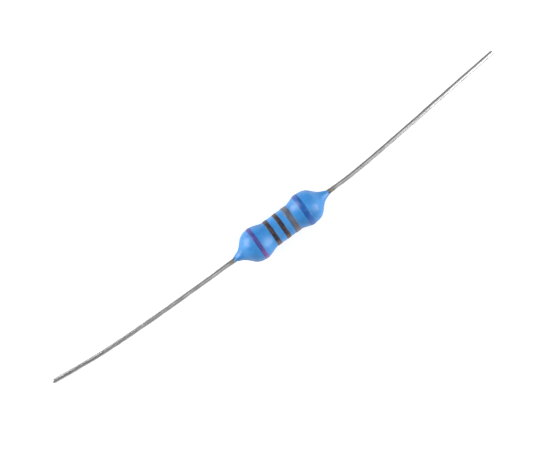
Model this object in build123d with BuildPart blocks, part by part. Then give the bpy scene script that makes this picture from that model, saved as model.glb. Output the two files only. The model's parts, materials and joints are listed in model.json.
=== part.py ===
from build123d import *
from math import radians, tan
import os

# Axial metal-film resistor, in millimetres. The body lies along X, with the blue band at its
# +X end. It rests on z = 0, on the two bulbs of its lacquer and on the tips of its two leads.
# The origin is on that surface, under the middle of the body.

# Ceramic rod, and the metal film on it (far thinner on a real part, under a micrometre)
rod_diameter = 2.25
rod_length = 7.1
rod_chamfer = 0.08
film_thickness = 0.04

# Helical cut through the film, which sets the resistance
trim_pitch = 0.78
trim_turns = 3.5
trim_width = 0.1

# Pressed steel end caps, forced over the filmed rod
cap_wall = 0.18
cap_depth = 1.5
cap_corner_radius = 0.3

# Wire leads: the straight stretches at each end, and the share of a run that its arcs may use
lead_diameter = 0.5
lead_length = 20.2
exit_straight = 1.6
tip_straight = 3.0
arc_share = 0.45

# Weld flash where a lead meets its cap
weld_diameter = 0.96
weld_height = 0.34

# How far each lead's tip stands sideways of the body's axis, and how that offset and the
# droop to the surface build up at the lead's corners, as shares of what the tip has
left_tip_offset = 0.89
right_tip_offset = 1.61
left_bow = (0.0, 0.08, 0.30, 1.0)
right_bow = (0.0, 0.31, 0.68, 1.0)
droop_bow = (0.0, 0.22, 0.56, 1.0)

# Lacquer: its thickness on the film, on the caps, at their outer corners and on the leads at
# the neck, and where its outline turns, from the mouth of a cap and from the cap's outer face
coat_over_film = 0.155
coat_over_caps = 0.305
coat_over_corner = 0.07
coat_over_neck = 0.355
rise_before_mouth = 0.8
crown_past_mouth = 0.6
corner_slope = -0.66
neck_past_face = 0.86
neck_slope = -0.68
meniscus_length = 1.72
feather_edge = 0.015
feather_slope = -0.35

# Printed bands: three spaced evenly along the waist, and one on each bulb, a little to the
# left of its crown
ink_thickness = 0.03
waist_band_middle = 0.0
waist_band_pitch = 1.07
bulb_band_shift = -0.12
blue_width = 0.6
grey_width = 0.62
black_width = 0.46
violet_width = 0.45

# Sizes and places that follow from them
lead_radius = lead_diameter / 2
film_radius = rod_diameter / 2 + film_thickness
cap_radius = film_radius + cap_wall
waist_radius = film_radius + coat_over_film
bulb_radius = cap_radius + coat_over_caps
axis_height = bulb_radius + ink_thickness
cap_face = rod_length / 2 + cap_wall
cap_mouth = rod_length / 2 - cap_depth
crown = cap_mouth + crown_past_mouth
coat_end = cap_face + meniscus_length

body_axis = Axis((0, 0, axis_height), (1, 0, 0))
profile_plane = Plane(origin=(0, 0, axis_height), x_dir=(1, 0, 0), z_dir=(0, -1, 0))


def section_plane(x, side):
    """Plane across the body at x, facing the left (side -1) or the right (side 1) end."""
    return Plane(origin=(x, 0, axis_height), x_dir=(0, 1, 0), z_dir=(side, 0, 0))


def lacquer_profile(lift):
    """Lengthwise section of the lacquered body, filled, with its surface raised by lift."""
    level, corner_fall = (1, 0), (1, corner_slope)
    neck_fall, feather_fall = (1, neck_slope), (1, feather_slope)
    waist_end = (cap_mouth - rise_before_mouth, waist_radius + lift)
    bulb_top = (crown, bulb_radius + lift)
    corner = (cap_face, cap_radius + coat_over_corner + lift)
    neck = (cap_face + neck_past_face, lead_radius + coat_over_neck + lift)
    feather = (coat_end, lead_radius + feather_edge + lift)
    with BuildSketch() as profile:
        with BuildLine():
            waist = Line((0, waist_radius + lift), waist_end)
            rise = Spline(waist @ 1, bulb_top, tangents=[level, level])
            shoulder = Spline(rise @ 1, corner, tangents=[level, corner_fall])
            slope = Spline(shoulder @ 1, neck, tangents=[corner_fall, neck_fall])
            meniscus = Spline(slope @ 1, feather, tangents=[neck_fall, feather_fall])
            Polyline(meniscus @ 1, (coat_end, 0), (0, 0), waist @ 0)
        make_face()
        mirror(about=Plane.YZ)
    return profile.sketch


def make_end_cap(side):
    """Drawn cup whose mouth faces the middle of the body."""
    with BuildPart() as cap:
        with BuildSketch(section_plane(side * cap_mouth, side)):
            Circle(cap_radius)
        extrude(amount=cap_depth + cap_wall)
        closed_end = cap.faces().sort_by(Axis.X)[-1 if side > 0 else 0]
        fillet(closed_end.edges(), cap_corner_radius)
        with BuildSketch(section_plane(side * cap_mouth, side)):
            Circle(film_radius)
        extrude(amount=cap_depth, mode=Mode.SUBTRACT)
    return cap.part


def make_lead(side, tip_offset, bow):
    """Wire welded to the cap's face, straight through the lacquer, then bowed to the surface."""
    exit_run = exit_straight / (1 - arc_share)
    tip_run = tip_straight / (1 - arc_share)
    bow_run = (lead_length - exit_run - tip_run) / 2
    reach = (exit_run, exit_run + bow_run, exit_run + 2 * bow_run, lead_length)
    droop = axis_height - lead_radius
    route = [Vector(side * cap_face, 0, axis_height)]
    for out, sideways, down in zip(reach, bow, droop_bow):
        x = side * (coat_end + out)
        route.append(Vector(x, tip_offset * sideways, axis_height - droop * down))
    runs = [b - a for a, b in zip(route, route[1:])]
    radii = []
    for before, after in zip(runs, runs[1:]):
        shorter = min(exit_run if before is runs[0] else before.length, after.length)
        radii.append(arc_share * shorter / tan(radians(before.get_angle(after)) / 2))
    with BuildPart() as lead:
        with BuildLine() as centreline:
            FilletPolyline(*route, radius=radii)
        with BuildSketch(section_plane(side * cap_face, side)):
            Circle(lead_radius)
        sweep(path=centreline.line)
        with BuildSketch(profile_plane):
            with BuildLine():
                foot = (side * cap_face, weld_diameter / 2)
                top = (side * (cap_face + weld_height), lead_radius)
                flash = Spline(foot, top, tangents=[(side, -2), (side, -0.3)])
                Polyline(flash @ 1, (top[0], 0), (foot[0], 0), flash @ 0)
            make_face()
        revolve(axis=body_axis)
    return lead.part


def make_band(middle, width):
    """Ring of ink that follows the lacquer's surface."""
    with BuildPart() as band:
        with BuildSketch(profile_plane):
            add(lacquer_raised)
            with Locations((middle, bulb_radius)):
                Rectangle(width, 2 * bulb_radius, mode=Mode.INTERSECT)
            add(lacquer_surface, mode=Mode.SUBTRACT)
        revolve(axis=body_axis)
    return band.part


os.makedirs("parts", exist_ok=True)

# Ceramic rod: an alumina cylinder with its ends eased, so that the caps start on it
with BuildPart() as ceramic_rod:
    with BuildSketch(section_plane(0, 1)):
        Circle(rod_diameter / 2)
    extrude(amount=rod_length / 2, both=True)
    chamfer(ceramic_rod.edges().filter_by(GeomType.CIRCLE), rod_chamfer)
ceramic_rod.part.label = "ceramic_rod"
export_step(ceramic_rod.part, "parts/ceramic_rod.step")

# Resistive film: a thin metal sleeve on the rod, cut along a helix
with BuildPart() as resistive_film:
    with BuildSketch(section_plane(0, 1)):
        Circle(film_radius)
        Circle(rod_diameter / 2, mode=Mode.SUBTRACT)
    extrude(amount=rod_length / 2 - rod_chamfer, both=True)
    trim_length = trim_pitch * trim_turns
    trim_start = (-trim_length / 2, 0, axis_height)
    trim_radius = (film_radius + rod_diameter / 2) / 2
    with BuildLine() as trim_path:
        Helix(trim_pitch, trim_length, trim_radius, center=trim_start, direction=(1, 0, 0))
    with BuildSketch(Plane(origin=trim_path.line @ 0, x_dir=(1, 0, 0), z_dir=trim_path.line % 0)):
        Rectangle(trim_width, 3 * film_thickness)
    sweep(path=trim_path.line, is_frenet=True, mode=Mode.SUBTRACT)
resistive_film.part.label = "resistive_film"
export_step(resistive_film.part, "parts/resistive_film.step")

# End caps and their welded leads
end_cap_left = make_end_cap(-1)
end_cap_right = make_end_cap(1)
lead_left = make_lead(-1, left_tip_offset, left_bow)
lead_right = make_lead(1, right_tip_offset, right_bow)
metalwork = {
    "end_cap_left": end_cap_left,
    "end_cap_right": end_cap_right,
    "lead_left": lead_left,
    "lead_right": lead_right,
}
for name, piece in metalwork.items():
    piece.label = name
    export_step(piece, f"parts/{name}.step")

lacquer_surface = lacquer_profile(0)
lacquer_raised = lacquer_profile(ink_thickness)

# Lacquer: one skin round the filmed rod, the caps and the first stretch of each lead
with BuildPart() as coating:
    with BuildSketch(profile_plane):
        add(lacquer_surface)
    revolve(axis=body_axis)
    with BuildSketch(section_plane(0, 1)):
        Circle(film_radius)
    extrude(amount=rod_length / 2, both=True, mode=Mode.SUBTRACT)
    add(list(metalwork.values()), mode=Mode.SUBTRACT)
coating.part.label = "coating"
export_step(coating.part, "parts/coating.step")

# Colour bands, rolled onto the lacquer, from the right end of the body to its left
bands = (
    ("band_1_blue", crown + bulb_band_shift, blue_width),
    ("band_2_grey", waist_band_middle + waist_band_pitch, grey_width),
    ("band_3_black", waist_band_middle, black_width),
    ("band_4_black", waist_band_middle - waist_band_pitch, black_width),
    ("band_5_violet", -crown + bulb_band_shift, violet_width),
)
for name, middle, width in bands:
    band = make_band(middle, width)
    band.label = name
    export_step(band, f"parts/{name}.step")
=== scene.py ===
"""Axial metal-film resistor: the looks of a lacquered body with five colour rings and two tinned leads.

Everything is in metres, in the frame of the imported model. The body lies along X.
"""

import json
from math import cos, pi, radians, sin, sqrt, tau

import bpy
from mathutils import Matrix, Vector, noise


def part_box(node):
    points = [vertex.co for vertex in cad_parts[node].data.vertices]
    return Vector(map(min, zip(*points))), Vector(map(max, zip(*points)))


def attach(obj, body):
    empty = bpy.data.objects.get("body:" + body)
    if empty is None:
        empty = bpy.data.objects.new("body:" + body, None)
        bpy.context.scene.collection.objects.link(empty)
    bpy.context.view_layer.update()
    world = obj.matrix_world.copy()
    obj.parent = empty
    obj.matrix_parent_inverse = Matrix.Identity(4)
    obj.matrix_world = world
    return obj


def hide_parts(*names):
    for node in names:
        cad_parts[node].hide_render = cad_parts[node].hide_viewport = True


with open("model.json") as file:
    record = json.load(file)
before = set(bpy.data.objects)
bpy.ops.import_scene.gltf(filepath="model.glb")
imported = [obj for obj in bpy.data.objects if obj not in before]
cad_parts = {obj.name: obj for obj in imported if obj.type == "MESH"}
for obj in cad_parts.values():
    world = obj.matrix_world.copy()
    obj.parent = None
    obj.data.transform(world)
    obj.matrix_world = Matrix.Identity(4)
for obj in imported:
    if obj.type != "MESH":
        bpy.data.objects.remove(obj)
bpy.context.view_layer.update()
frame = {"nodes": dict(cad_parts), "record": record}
nodes = frame["nodes"]


# ---------------------------------------------------------------- camera
# A long lens looks almost straight down at the part. The body runs up to the right across the
# view, and its end with the blue ring is a little further away.

MM = 0.001
CAMERA_DISTANCE = 0.30
CAMERA_ELEVATION = radians(85.5)
BODY_TURN = radians(36.2)
LENS = 215.2
BODY_OFFSET_RIGHT = 1.072 * MM
BODY_OFFSET_DOWN = 0.087 * MM

coating_low, coating_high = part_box("coating")
body_middle = (coating_low + coating_high) / 2
axis_height = body_middle.z

azimuth = 1.5 * pi - BODY_TURN
back = Vector((
    cos(CAMERA_ELEVATION) * cos(azimuth),
    cos(CAMERA_ELEVATION) * sin(azimuth),
    sin(CAMERA_ELEVATION),
))
view_right = Vector((-sin(azimuth), cos(azimuth), 0))
view_up = back.cross(view_right)
aim = body_middle - view_right * BODY_OFFSET_RIGHT + view_up * BODY_OFFSET_DOWN

camera = bpy.data.objects.new("camera", bpy.data.cameras.new("camera"))
bpy.context.scene.collection.objects.link(camera)
bpy.context.scene.camera = camera
camera.data.lens = LENS
camera.data.clip_start = 0.01
camera.data.clip_end = 10
camera.location = aim + back * CAMERA_DISTANCE
camera.rotation_mode = "QUATERNION"
camera.rotation_quaternion = (-back).to_track_quat("-Z", "Y")


# ---------------------------------------------------------------- ceramic rod
# The core is a rod of fired alumina, pressed and ground to size. It is off-white, with the fine
# open grain of the ceramic, and it is hidden by everything else.

NOISE_LOW, NOISE_HIGH = 0.3, 0.7
CERAMIC_CELLS = (9000, 9000, 9000)
CERAMIC_SHADES = (0.35, (0.70, 0.68, 0.63)), (0.65, (0.84, 0.83, 0.79))
CERAMIC_ROUGHNESS = 0.45, 0.65
CERAMIC_RELIEF = 0.004 * MM


def new_material(name):
    """A material, its node tree and its Principled shader."""
    material = bpy.data.materials.new(name)
    material.use_nodes = True
    tree = material.node_tree
    return material, tree, tree.nodes["Principled BSDF"]


def grain(tree, cells, detail=3.0):
    """Noise over the part's own coordinates, with so many cells to the metre along each axis."""
    place = tree.nodes.new("ShaderNodeTexCoord")
    scale = tree.nodes.new("ShaderNodeMapping")
    scale.inputs["Scale"].default_value = cells
    pattern = tree.nodes.new("ShaderNodeTexNoise")
    pattern.inputs["Scale"].default_value = 1.0
    pattern.inputs["Detail"].default_value = detail
    tree.links.new(place.outputs["Object"], scale.inputs["Vector"])
    tree.links.new(scale.outputs["Vector"], pattern.inputs["Vector"])
    return pattern.outputs["Fac"]


def shades(tree, factor, stops):
    """A colour ramp: each stop is a place from 0 to 1 and a linear colour."""
    ramp = tree.nodes.new("ShaderNodeValToRGB")
    while len(ramp.color_ramp.elements) < len(stops):
        ramp.color_ramp.elements.new(0.5)
    for element, (place, colour) in zip(ramp.color_ramp.elements, stops):
        element.position = place
        element.color = (*colour, 1)
    tree.links.new(factor, ramp.inputs["Fac"])
    return ramp.outputs["Color"]


def spread(tree, factor, low, high):
    """The same pattern as a number that runs from low to high."""
    fit = tree.nodes.new("ShaderNodeMapRange")
    fit.inputs["From Min"].default_value = NOISE_LOW
    fit.inputs["From Max"].default_value = NOISE_HIGH
    fit.inputs["To Min"].default_value = low
    fit.inputs["To Max"].default_value = high
    tree.links.new(factor, fit.inputs["Value"])
    return fit.outputs["Result"]


def relief(tree, shader, factor, depth):
    """Bumps of that depth, in metres, on top of any that the shader has already."""
    bump = tree.nodes.new("ShaderNodeBump")
    bump.inputs["Distance"].default_value = depth
    bump.inputs["Strength"].default_value = 1.0
    if shader.inputs["Normal"].is_linked:
        tree.links.new(shader.inputs["Normal"].links[0].from_socket, bump.inputs["Normal"])
    tree.links.new(factor, bump.inputs["Height"])
    tree.links.new(bump.outputs["Normal"], shader.inputs["Normal"])


def one_grain_material(name, cells, detail, stops, roughness, depth, metallic):
    """A material whose colour, roughness and bumps all follow one grain."""
    material, tree, shader = new_material(name)
    pattern = grain(tree, cells, detail)
    tree.links.new(shades(tree, pattern, stops), shader.inputs["Base Color"])
    tree.links.new(spread(tree, pattern, *roughness), shader.inputs["Roughness"])
    relief(tree, shader, pattern, depth)
    shader.inputs["Metallic"].default_value = metallic
    return material


def finish_node(node, material):
    """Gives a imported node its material."""
    nodes[node].data.materials.clear()
    nodes[node].data.materials.append(material)


alumina = one_grain_material(
    "alumina", CERAMIC_CELLS, 5, CERAMIC_SHADES, CERAMIC_ROUGHNESS, CERAMIC_RELIEF, metallic=0.0
)
finish_node("ceramic_rod", alumina)


# ---------------------------------------------------------------- resistive film
# A skin of nickel-chrome sputtered on the rod. A helical cut through it sets the resistance.
# It is a dull warm metal, slightly mottled by the grain of the ceramic beneath.

FILM_CELLS = (4000, 4000, 4000)
FILM_SHADES = (0.3, (0.26, 0.24, 0.22)), (0.7, (0.40, 0.37, 0.34))
FILM_ROUGHNESS = 0.35, 0.55
FILM_RELIEF = 0.003 * MM

nickel_chrome = one_grain_material(
    "nickel_chrome", FILM_CELLS, 4, FILM_SHADES, FILM_ROUGHNESS, FILM_RELIEF, metallic=1.0
)
finish_node("resistive_film", nickel_chrome)


# ---------------------------------------------------------------- end caps
# Two cups pressed from thin tinned steel and forced over the ends of the filmed rod. Drawing
# leaves faint scratches along their walls.

DRAW_MARK_CELLS = (800, 16000, 16000)
STEEL_SHADES = (0.3, (0.50, 0.49, 0.47)), (0.7, (0.64, 0.63, 0.61))
STEEL_ROUGHNESS = 0.22, 0.40
STEEL_RELIEF = 0.003 * MM

cap_steel = one_grain_material(
    "cap_steel", DRAW_MARK_CELLS, 3, STEEL_SHADES, STEEL_ROUGHNESS, STEEL_RELIEF, metallic=1.0
)
for cap in ("end_cap_left", "end_cap_right"):
    finish_node(cap, cap_steel)


# ---------------------------------------------------------------- leads
# Drawn copper wire with a satin tin plating, butt-welded to the caps, with a flash of metal
# round each weld. The wire leaves the lacquer straight, bows a little, and ends in a snipped
# face. Handling and the reel's paper tape leave it slightly dull and faintly scratched.

EXIT_STRAIGHT = 1.6 * MM
ARC_SHARE = 0.45
ROUTE_POINTS_PER_SPAN = 48
WIRE_STEP = 0.12 * MM
WIRE_SIDES = 40
WIRE_UNEVENNESS = 0.006
UNEVEN_CELLS_PER_METRE = 900
UNEVEN_CELLS_ROUND = 0.6
WELD_RADIUS = 0.48 * MM
WELD_HEIGHT = 0.34 * MM
WELD_FALL = 1.6
PINCH_LENGTH = 0.25 * MM
PINCH = 0.10
SNIP_SLANT = 0.006 * MM

# Shares of the tip's sideways offset and droop, at the two corners that bow each lead
BOWS = {"left": ((0.08, 0.22), (0.30, 0.56)), "right": ((0.31, 0.22), (0.68, 0.56))}

# Size of each ring of the snipped face, as a share of the wire's, and how far it stands out
SNIP_RINGS = (0.97, 0.006 * MM), (0.86, 0.012 * MM), (0.45, 0.014 * MM)

TIN_SHADES = (0.32, (0.46, 0.462, 0.465)), (0.68, (0.78, 0.78, 0.775))
TIN_ROUGHNESS = 0.28, 0.17
DRAWN_LINE_CELLS = (500, 30000, 30000)
DRAWN_LINE_RELIEF = 0.0015 * MM
DULL_PATCH_CELLS = (900, 3500, 3500)
DULL_PATCH_RELIEF = 0.005 * MM
STAIN = (0.20, 0.16, 0.10)
STAIN_LENGTH = 1.1 * MM
STAIN_CELLS = (1600, 2600, 2600)
STAIN_AMOUNT = 0.35, 1.0


def mesh_object(name, points, faces):
    """A mesh piece of the object, at the origin, with its place in its vertices."""
    mesh = bpy.data.meshes.new(name)
    mesh.from_pydata(points, [], faces)
    mesh.validate()
    mesh.shade_smooth()
    piece = bpy.data.objects.new(name, mesh)
    bpy.context.scene.collection.objects.link(piece)
    return piece


def tube(rings):
    """Points and faces of a skin over rings of equal size, with both its ends closed by fans."""
    sides = len(rings[0])
    points = [p for ring in rings for p in ring]
    faces = []
    for i in range(len(rings) - 1):
        for j in range(sides):
            k = (j + 1) % sides
            faces.append((i * sides + j, i * sides + k, (i + 1) * sides + k, (i + 1) * sides + j))
    for row in (0, len(rings) - 1):
        points.append(sum((Vector(p) for p in rings[row]), Vector()) / sides)
        for j in range(sides):
            k = (j + 1) % sides
            fan = (row * sides + j, row * sides + k, len(points) - 1)
            faces.append(fan[::-1] if row == 0 else fan)
    return points, faces


def smooth_route(points, name):
    """Points along the smooth curve that a route's control points pull."""
    curve = bpy.data.curves.new(name, "CURVE")
    curve.dimensions = "3D"
    spline = curve.splines.new("NURBS")
    spline.points.add(len(points) - 1)
    for control, p in zip(spline.points, points):
        control.co = (*p, 1)
    spline.order_u = 3
    spline.use_endpoint_u = True
    spline.resolution_u = ROUTE_POINTS_PER_SPAN
    holder = bpy.data.objects.new(name, curve)
    line = bpy.data.meshes.new_from_object(holder)
    route = [v.co.copy() for v in line.vertices]
    bpy.data.objects.remove(holder)
    bpy.data.meshes.remove(line)
    return route


def resample(route, step):
    """The same line with no two points much more than a step apart."""
    line = [route[0]]
    for a, b in zip(route, route[1:]):
        count = max(1, round((b - a).length / step))
        line.extend(a.lerp(b, i / count) for i in range(1, count + 1))
    return line


def lead_route(side):
    """Centre line of a wire, from its weld to its snipped tip, and the wire's radius."""
    mount = next(m for m in frame["record"]["mounts"] if m["name"] == f"lead_tip_{side}")
    outward = Vector(mount["axis"]).normalized()
    straight = mount["dims"]["length_mm"] * MM
    tip = Vector(mount["pos_m"]) + outward * straight / 2
    right = side == "right"
    cap_low, cap_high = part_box(f"end_cap_{side}")
    root = Vector((cap_high.x if right else cap_low.x, body_middle.y, axis_height))
    coat_end = coating_high.x if right else coating_low.x
    way = 1 if right else -1
    exit_run = EXIT_STRAIGHT / (1 - ARC_SHARE)
    tip_run = straight / (1 - ARC_SHARE)
    first = Vector((coat_end + way * exit_run, root.y, root.z))
    lead_length = abs(tip.x - coat_end)
    bow_run = (lead_length - exit_run - tip_run) / 2
    corners = []
    for steps, (sideways, droop) in enumerate(BOWS[side], start=1):
        corners.append(Vector((
            first.x + way * steps * bow_run,
            root.y + (tip.y - root.y) * sideways,
            root.z + (tip.z - root.z) * droop,
        )))
    leaving = Vector((coat_end, root.y, root.z)).lerp(first, 1 - 2 * ARC_SHARE)
    arriving = corners[-1].lerp(tip, 2 * ARC_SHARE)
    controls = [root, leaving, first, *corners, arriving, tip]
    return smooth_route(controls, f"route_{side}"), mount["dims"]["r_mm"] * MM


def wire_rings(route, radius):
    """Rings along the wire: a weld flash, the drawn wire, and a slightly pinched snipped end."""
    line = resample(route, WIRE_STEP)
    total = sum((b - a).length for a, b in zip(line, line[1:]))
    rings = []
    run = 0.0
    for i, p in enumerate(line):
        before = line[max(i - 1, 0)]
        ahead = line[min(i + 1, len(line) - 1)] - before
        across = Vector((0, 0, 1)).cross(ahead).normalized()
        over = ahead.cross(across).normalized()
        run += (p - before).length
        flash = max(0.0, 1 - run / WELD_HEIGHT)
        size = radius + (WELD_RADIUS - radius) * flash ** WELD_FALL
        pinch = max(0.0, 1 - (total - run) / PINCH_LENGTH)
        ring = []
        for j in range(WIRE_SIDES):
            angle = tau * j / WIRE_SIDES
            cell = Vector((cos(angle), sin(angle), 0)) * UNEVEN_CELLS_ROUND
            rough = 1 + WIRE_UNEVENNESS * noise.noise(p * UNEVEN_CELLS_PER_METRE + cell)
            squash = 1 - PINCH * pinch * pinch * abs(cos(angle))
            spoke = across * cos(angle) + over * sin(angle)
            ring.append(p + spoke * size * rough * squash)
        rings.append(ring)
    tip, rim = line[-1], rings[-1]
    outward = (tip - line[-2]).normalized()
    for inset, proud in SNIP_RINGS:
        face = []
        for j, q in enumerate(rim):
            slant = SNIP_SLANT * cos(tau * j / WIRE_SIDES)
            face.append(tip + (q - tip) * inset + outward * (proud + slant))
        rings.append(face)
    return rings


def smooth_rise(tree, value, start, end):
    """A number that goes smoothly from 0 to 1 as the value goes from start to end."""
    fit = tree.nodes.new("ShaderNodeMapRange")
    fit.interpolation_type = "SMOOTHSTEP"
    fit.inputs["From Min"].default_value = start
    fit.inputs["From Max"].default_value = end
    tree.links.new(value, fit.inputs["Value"])
    return fit.outputs["Result"]


def product(tree, first, second):
    """Two numbers multiplied."""
    times = tree.nodes.new("ShaderNodeMath")
    times.operation = "MULTIPLY"
    tree.links.new(first, times.inputs[0])
    tree.links.new(second, times.inputs[1])
    return times.outputs["Value"]


def tinted(tree, colour, tint, amount):
    """A colour drawn towards a tint by an amount from 0 to 1."""
    mix = tree.nodes.new("ShaderNodeMix")
    mix.data_type = "RGBA"
    mix.inputs["B"].default_value = (*tint, 1)
    tree.links.new(amount, mix.inputs["Factor"])
    tree.links.new(colour, mix.inputs["A"])
    return mix.outputs["Result"]


tinned_wire, tree, shader = new_material("tinned_wire")
drawn_lines = grain(tree, DRAWN_LINE_CELLS, detail=4)
dull_patches = grain(tree, DULL_PATCH_CELLS, detail=5)
place = tree.nodes.new("ShaderNodeTexCoord")
axes = tree.nodes.new("ShaderNodeSeparateXYZ")
tree.links.new(place.outputs["Object"], axes.inputs["Vector"])
distance = tree.nodes.new("ShaderNodeMath")
distance.operation = "ABSOLUTE"
tree.links.new(axes.outputs["X"], distance.inputs[0])
near_lacquer = smooth_rise(
    tree,
    distance.outputs["Value"],
    coating_high.x + STAIN_LENGTH,
    coating_high.x - STAIN_LENGTH / 4,
)
stain = product(tree, near_lacquer, spread(tree, grain(tree, STAIN_CELLS), *STAIN_AMOUNT))
tin = shades(tree, dull_patches, TIN_SHADES)
tree.links.new(tinted(tree, tin, STAIN, stain), shader.inputs["Base Color"])
shader.inputs["Metallic"].default_value = 1.0
tree.links.new(spread(tree, dull_patches, *TIN_ROUGHNESS), shader.inputs["Roughness"])
relief(tree, shader, drawn_lines, DRAWN_LINE_RELIEF)
relief(tree, shader, dull_patches, DULL_PATCH_RELIEF)

for side in ("left", "right"):
    wire_route, wire_radius = lead_route(side)
    wire_skin = tube(wire_rings(wire_route, wire_radius))
    wire = mesh_object(f"wire_{side}", *wire_skin)
    wire.data.materials.append(tinned_wire)
    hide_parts(f"lead_{side}")
    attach(wire, "root")


# ---------------------------------------------------------------- lacquer
# Several dips of light blue epoxy lacquer, baked on. Surface tension pulls it thick over the
# caps, thin over the waist, and out along each wire in a meniscus. It is smooth but not quite
# even, with the faint ripple and orange peel of a dipped coat.

LACQUER_TURNS = 168
OUTLINE_STEPS = {"waist": 40, "rise": 44, "shoulder": 32, "slope": 32, "meniscus": 36}
RISE_BEFORE_MOUTH = 0.8 * MM
CROWN_PAST_MOUTH = 0.6 * MM
COAT_OVER_CORNER = 0.07 * MM
CORNER_SLOPE = -0.66
NECK_PAST_FACE = 0.86 * MM
COAT_OVER_NECK = 0.355 * MM
NECK_SLOPE = -0.68
FEATHER_SLOPE = -0.35
FEATHER_EDGE = 0.015 * MM
INK_THICKNESS = 0.03 * MM
RIPPLE = 0.020 * MM
RIPPLES_PER_METRE = 400
FINE_RIPPLE = 0.004 * MM
FINE_RIPPLES_PER_METRE = 1500
FEATHER_WANDER = 0.35
FEATHER_CELLS_ROUND = 1.3
BORE_INSET = 0.8 * MM
BORE_EASE = 1.01
PIGMENT_CELLS = (900, 900, 900)
LACQUER_SHADES = (0.32, (0.022, 0.168, 0.440)), (0.68, (0.038, 0.232, 0.570))
ORANGE_PEEL_CELLS = (2600, 2600, 2600)
ORANGE_PEEL_RELIEF = 0.010 * MM
LACQUER_ROUGHNESS = 0.34, 0.42

right_cap_low, right_cap_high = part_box("end_cap_right")
black_band_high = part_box("band_3_black")[1]
film_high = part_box("resistive_film")[1]

cap_radius = right_cap_high.y - body_middle.y
bulb_radius = coating_high.y - body_middle.y
waist_radius = black_band_high.y - body_middle.y - INK_THICKNESS
cap_mouth, cap_face = right_cap_low.x, right_cap_high.x
coat_end = coating_high.x


def glide(start, end, leaving, arriving, share):
    """A point on a smooth curve between two, with the slope that it leaves and arrives with."""
    reach = sqrt((end[0] - start[0]) ** 2 + (end[1] - start[1]) ** 2)
    pull = []
    for slope in (leaving, arriving):
        size = reach / sqrt(1 + slope * slope)
        pull.append((size, slope * size))
    s, s2, s3 = share, share ** 2, share ** 3
    weights = (2 * s3 - 3 * s2 + 1, s3 - 2 * s2 + s, 3 * s2 - 2 * s3, s3 - s2)
    return tuple(
        weights[0] * start[k] + weights[1] * pull[0][k] + weights[2] * end[k] + weights[3] * pull[1][k]
        for k in (0, 1)
    )


def lacquer_outline():
    """(x, radius) of the lacquer's surface from the middle of the body to its right feather edge."""
    waist_end = (cap_mouth - RISE_BEFORE_MOUTH, waist_radius)
    crown = (cap_mouth + CROWN_PAST_MOUTH, bulb_radius)
    corner = (cap_face, cap_radius + COAT_OVER_CORNER)
    neck = (cap_face + NECK_PAST_FACE, wire_radius + COAT_OVER_NECK)
    feather = (coat_end, wire_radius + FEATHER_EDGE)
    stretches = (
        ("waist", (0.0, waist_radius), waist_end, 0, 0),
        ("rise", waist_end, crown, 0, 0),
        ("shoulder", crown, corner, 0, CORNER_SLOPE),
        ("slope", corner, neck, CORNER_SLOPE, NECK_SLOPE),
        ("meniscus", neck, feather, NECK_SLOPE, FEATHER_SLOPE),
    )
    outline = [(0.0, waist_radius)]
    for name, start, end, leaving, arriving in stretches:
        steps = OUTLINE_STEPS[name]
        outline.extend(glide(start, end, leaving, arriving, i / steps) for i in range(1, steps + 1))
    return outline


right_outline = lacquer_outline()
whole_outline = [(-x, r) for x, r in reversed(right_outline[1:])] + right_outline


def outline_radius(x):
    """Radius of the even lacquer at x, read along its outline."""
    x = min(abs(x), coat_end)
    for (x0, r0), (x1, r1) in zip(right_outline, right_outline[1:]):
        if x <= x1:
            return r0 + (r1 - r0) * (x - x0) / (x1 - x0)
    return right_outline[-1][1]


def lacquer_radius(x, angle):
    """Radius with the coat's ripple, which dies away towards the feather edges."""
    even = outline_radius(x)
    thick = min(1.0, (even - wire_radius) / (waist_radius - wire_radius))
    place = Vector((x, even * cos(angle), even * sin(angle)))
    broad = RIPPLE * noise.noise(place * RIPPLES_PER_METRE)
    fine = FINE_RIPPLE * noise.noise(place * FINE_RIPPLES_PER_METRE)
    return even + thick * (broad + fine)


def round_body(x, radius, angle):
    """The point at that radius and angle round the body's axis. Angle 0 points to +Y."""
    return Vector((x, body_middle.y + radius * cos(angle), axis_height + radius * sin(angle)))


def lacquer_point(x, angle):
    """A point of the coat. Beyond the neck the coat is drawn in a little, more in some places."""
    neck = cap_face + NECK_PAST_FACE
    spare = abs(x) - neck
    if spare <= 0:
        return round_body(x, lacquer_radius(x, angle), angle)
    turn = Vector((cos(angle), sin(angle), x / coat_end)) * FEATHER_CELLS_ROUND
    drawn_in = FEATHER_WANDER * (0.5 + noise.noise(turn))
    reach = (neck + spare * (1 - drawn_in)) * (1 if x > 0 else -1)
    return round_body(reach, lacquer_radius(x, angle), angle)


def closed_ring(rings):
    """Points and faces of a skin over rings of equal size, whose last is joined to its first."""
    sides, count = len(rings[0]), len(rings)
    points = [p for ring in rings for p in ring]
    faces = []
    for i in range(count):
        n = (i + 1) % count
        for j in range(sides):
            k = (j + 1) % sides
            faces.append((i * sides + j, i * sides + k, n * sides + k, n * sides + j))
    return points, faces


turns = [tau * j / LACQUER_TURNS for j in range(LACQUER_TURNS)]
coat_rings = [[lacquer_point(x, angle) for angle in turns] for x, _ in whole_outline]
right_bore = (
    (coat_end - BORE_INSET, wire_radius * BORE_EASE),
    (cap_face + WELD_HEIGHT, wire_radius * BORE_EASE),
    (cap_face, WELD_RADIUS * BORE_EASE),
    (cap_face, cap_radius),
    (cap_mouth, cap_radius),
    (cap_mouth, film_high.y - body_middle.y),
)
bore = right_bore + tuple((-x, r) for x, r in reversed(right_bore))
bore_rings = [[round_body(x, r, angle) for angle in turns] for x, r in bore]
lacquer_coat = mesh_object("lacquer_coat", *closed_ring(coat_rings + bore_rings))

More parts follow.
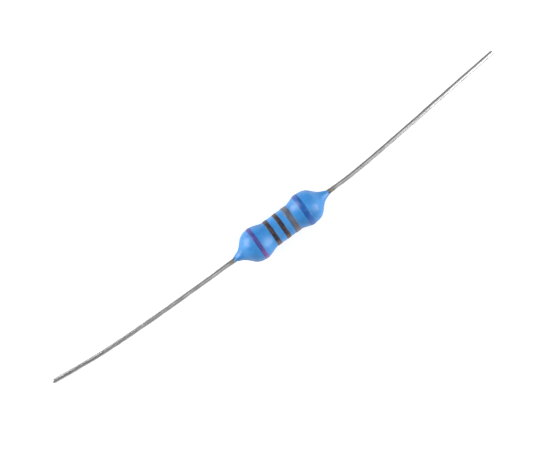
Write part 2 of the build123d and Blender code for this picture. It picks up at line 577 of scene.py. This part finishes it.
blue_lacquer, tree, shader = new_material("blue_lacquer")
pigment = grain(tree, PIGMENT_CELLS, detail=6)
orange_peel = grain(tree, ORANGE_PEEL_CELLS, detail=2)
tree.links.new(shades(tree, pigment, LACQUER_SHADES), shader.inputs["Base Color"])
tree.links.new(spread(tree, orange_peel, *LACQUER_ROUGHNESS), shader.inputs["Roughness"])
relief(tree, shader, orange_peel, ORANGE_PEEL_RELIEF)
lacquer_coat.data.materials.append(blue_lacquer)
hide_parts("coating")
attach(lacquer_coat, "root")


# ---------------------------------------------------------------- colour bands
# Five rings of baking ink, rolled onto the turning body by a wheel. The ink sits proud of the
# lacquer, thins out at its edges, and its edges wander a little.

BAND_STEPS = 14
RING_SQUARENESS = 4
EDGE_WANDER = 0.022 * MM
EDGE_CELLS_ROUND = 2.2
END_SEED = 9
SEED_STEP = 3.7
EDGE_SINK = 0.1
INK_BITE = 0.008 * MM
INK_PATCH_CELLS = (2400, 2400, 2400)
INK_ROUGHNESS = 0.34, 0.46
INK_RELIEF = 0.006 * MM
SHEEN_CELLS = (1500, 1500, 1500)
SHEEN_AMOUNT = 0.15, 1.0

# For each ink: its two shades, and the lighter, warmer colour of the painted sheen on its side facing
# -Y
INKS = {
    "blue_ink": ((0.002, 0.056, 0.255), (0.008, 0.098, 0.345), (0.030, 0.130, 0.420)),
    "grey_ink": ((0.054, 0.072, 0.112), (0.100, 0.114, 0.150), (0.230, 0.130, 0.170)),
    "black_ink": ((0.003, 0.001, 0.004), (0.046, 0.030, 0.046), (0.170, 0.085, 0.045)),
    "violet_ink": ((0.024, 0.032, 0.180), (0.058, 0.054, 0.270), (0.200, 0.075, 0.300)),
}
# The painted sheen on the inks: the side it faces, -Y and 22 degrees up, and the distances from the
# axis over which it comes in
SHEEN_SIDE = Vector((0, -cos(radians(22)), sin(radians(22))))
SHEEN_STARTS, SHEEN_FULL = 1.10 * MM, 1.55 * MM
BANDS = (
    ("band_1_blue", "blue_ink"),
    ("band_2_grey", "grey_ink"),
    ("band_3_black", "black_ink"),
    ("band_4_black", "black_ink"),
    ("band_5_violet", "violet_ink"),
)


def ink_ring(node, seed):
    """A ring of ink with rounded, wandering edges that follows the rippled lacquer."""
    low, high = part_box(node)
    rings = []
    for i in range(BAND_STEPS + 1):
        share = i / BAND_STEPS
        swell = sqrt(max(0.0, 1 - (2 * share - 1) ** RING_SQUARENESS))
        ring = []
        for angle in turns:
            turn = Vector((cos(angle), sin(angle), 0)) * EDGE_CELLS_ROUND
            start = low.x + EDGE_WANDER * noise.noise(turn + Vector((0, 0, seed)))
            end = high.x + EDGE_WANDER * noise.noise(turn + Vector((0, 0, seed + END_SEED)))
            x = start + (end - start) * share
            lift = INK_THICKNESS * ((1 - EDGE_SINK) * swell - EDGE_SINK)
            ring.append(round_body(x, lacquer_radius(x, angle) + lift, angle))
        rings.append(ring)
    for i in (BAND_STEPS, 0):
        rings.append([
            round_body(p.x, lacquer_radius(p.x, angle) - INK_BITE, angle)
            for p, angle in zip(rings[i], turns)
        ])
    return closed_ring(rings)


def ink_material(name, dark, light, sheen_colour):
    """Baked ink, mottled by its thickness, with a painted sheen: lighter and warmer on the side facing
    -Y.
    """
    material, tree, shader = new_material(name)
    patches = grain(tree, INK_PATCH_CELLS, detail=5)
    place = tree.nodes.new("ShaderNodeTexCoord")
    from_axis = tree.nodes.new("ShaderNodeVectorMath")
    from_axis.operation = "SUBTRACT"
    from_axis.inputs[1].default_value = body_middle
    along = tree.nodes.new("ShaderNodeVectorMath")
    along.operation = "DOT_PRODUCT"
    along.inputs[1].default_value = SHEEN_SIDE
    tree.links.new(place.outputs["Object"], from_axis.inputs[0])
    tree.links.new(from_axis.outputs["Vector"], along.inputs[0])
    # Painted sheen: the ink turns lighter and warmer, in patches, on its side facing -Y
    sheen_side = smooth_rise(tree, along.outputs["Value"], SHEEN_STARTS, SHEEN_FULL)
    painted_sheen = product(tree, sheen_side, spread(tree, grain(tree, SHEEN_CELLS), *SHEEN_AMOUNT))
    ink = shades(tree, patches, ((0.32, dark), (0.68, light)))
    tree.links.new(tinted(tree, ink, sheen_colour, painted_sheen), shader.inputs["Base Color"])
    tree.links.new(spread(tree, patches, *INK_ROUGHNESS), shader.inputs["Roughness"])
    relief(tree, shader, patches, INK_RELIEF)
    return material


ink_materials = {name: ink_material(name, *colours) for name, colours in INKS.items()}
for count, (node, ink) in enumerate(BANDS):
    ring = mesh_object(f"ink_{node}", *ink_ring(node, count * SEED_STEP))
    ring.data.materials.append(ink_materials[ink])
    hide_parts(node)
    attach(ring, "root")


# ---------------------------------------------------------------- studio
# A sheet of white paper lies under the part. A large softbox stands low on each side, and the
# room is pale, apart from a dark wall beyond the part, a dimmer wall on the near side and a
# ceiling that darkens towards the part's left end.

FLOOR_SIZE = 3.0
PAPER_GLOW = 0.5
PAPER_CELLS = (2200, 2200, 2200)
PAPER_SHADES = (0.3, (0.60, 0.60, 0.60)), (0.7, (0.63, 0.63, 0.63))
SOFTBOX_DISTANCE = 0.6
FAR_WALL = 0.17
NEAR_WALL = 0.46

paper, tree, shader = new_material("white_paper")
paper_fibre = grain(tree, PAPER_CELLS, detail=4)
tree.links.new(shades(tree, paper_fibre, PAPER_SHADES), shader.inputs["Base Color"])
shader.inputs["Roughness"].default_value = 0.9
shader.inputs["Specular IOR Level"].default_value = 0.2
shader.inputs["Emission Color"].default_value = (1, 1, 1, 1)
ray = tree.nodes.new("ShaderNodeLightPath")
seen = ray.outputs["Is Camera Ray"]
for other in ("Is Glossy Ray", "Is Transmission Ray"):
    either = tree.nodes.new("ShaderNodeMath")
    either.operation = "ADD"
    either.use_clamp = True
    tree.links.new(seen, either.inputs[0])
    tree.links.new(ray.outputs[other], either.inputs[1])
    seen = either.outputs["Value"]
glow = tree.nodes.new("ShaderNodeMath")
glow.operation = "MULTIPLY"
glow.inputs[1].default_value = PAPER_GLOW
tree.links.new(seen, glow.inputs[0])
tree.links.new(glow.outputs["Value"], shader.inputs["Emission Strength"])
half = FLOOR_SIZE / 2
floor = mesh_object(
    "floor",
    [(-half, -half, 0), (half, -half, 0), (half, half, 0), (-half, half, 0)],
    [(0, 1, 2, 3)],
)
floor.data.materials.append(paper)


def softbox(name, bearing, elevation, width, height, power):
    """A soft rectangular lamp that faces the body, its bearing counted from +X towards +Y."""
    toward = Vector((
        cos(elevation) * cos(bearing),
        cos(elevation) * sin(bearing),
        sin(elevation),
    ))
    lamp = bpy.data.lights.new(name, "AREA")
    lamp.shape = "RECTANGLE"
    lamp.size = width
    lamp.size_y = height
    lamp.energy = power
    holder = bpy.data.objects.new(name, lamp)
    holder.location = body_middle + toward * SOFTBOX_DISTANCE
    holder.rotation_mode = "QUATERNION"
    holder.rotation_quaternion = (-toward).to_track_quat("-Z", "Y")
    holder.visible_camera = False
    bpy.context.scene.collection.objects.link(holder)


softbox("softbox_left", radians(134), radians(20), width=0.54, height=0.50, power=6.6)
softbox("softbox_right", radians(-36), radians(27), width=0.42, height=0.50, power=4.0)

world = bpy.data.worlds.new("room")
bpy.context.scene.world = world
world.use_nodes = True
tree = world.node_tree
sky = tree.nodes.new("ShaderNodeTexCoord")
split = tree.nodes.new("ShaderNodeSeparateXYZ")
tree.links.new(sky.outputs["Generated"], split.inputs["Vector"])


def across_room(axis, start, end, low, high):
    """A strength that goes smoothly from low to high as the direction turns along an axis."""
    fit = tree.nodes.new("ShaderNodeMapRange")
    fit.interpolation_type = "SMOOTHSTEP"
    tree.links.new(split.outputs[axis], fit.inputs["Value"])
    for name, value in (("From Min", start), ("From Max", end), ("To Min", low), ("To Max", high)):
        fit.inputs[name].default_value = value
    return fit.outputs["Result"]


def towards(strength, amount, wanted):
    """A strength drawn by that amount, from 0 to 1, towards the one that is wanted."""
    blend = tree.nodes.new("ShaderNodeMix")
    tree.links.new(amount, blend.inputs[0])
    tree.links.new(strength, blend.inputs[2])
    blend.inputs[3].default_value = wanted
    return blend.outputs[0]


ceiling = across_room("X", start=-0.30, end=0.02, low=0.15, high=0.77)
far_side = across_room("Y", start=0.30, end=0.65, low=0.0, high=1.0)
near_side = across_room("Y", start=-0.30, end=-0.60, low=0.0, high=1.0)
with_far_wall = towards(ceiling, far_side, FAR_WALL)
with_near_wall = towards(with_far_wall, near_side, NEAR_WALL)
room = tree.nodes["Background"]
room.inputs["Color"].default_value = (1, 1, 1, 1)
tree.links.new(with_near_wall, room.inputs["Strength"])

bpy.context.scene.view_settings.view_transform = "Standard"
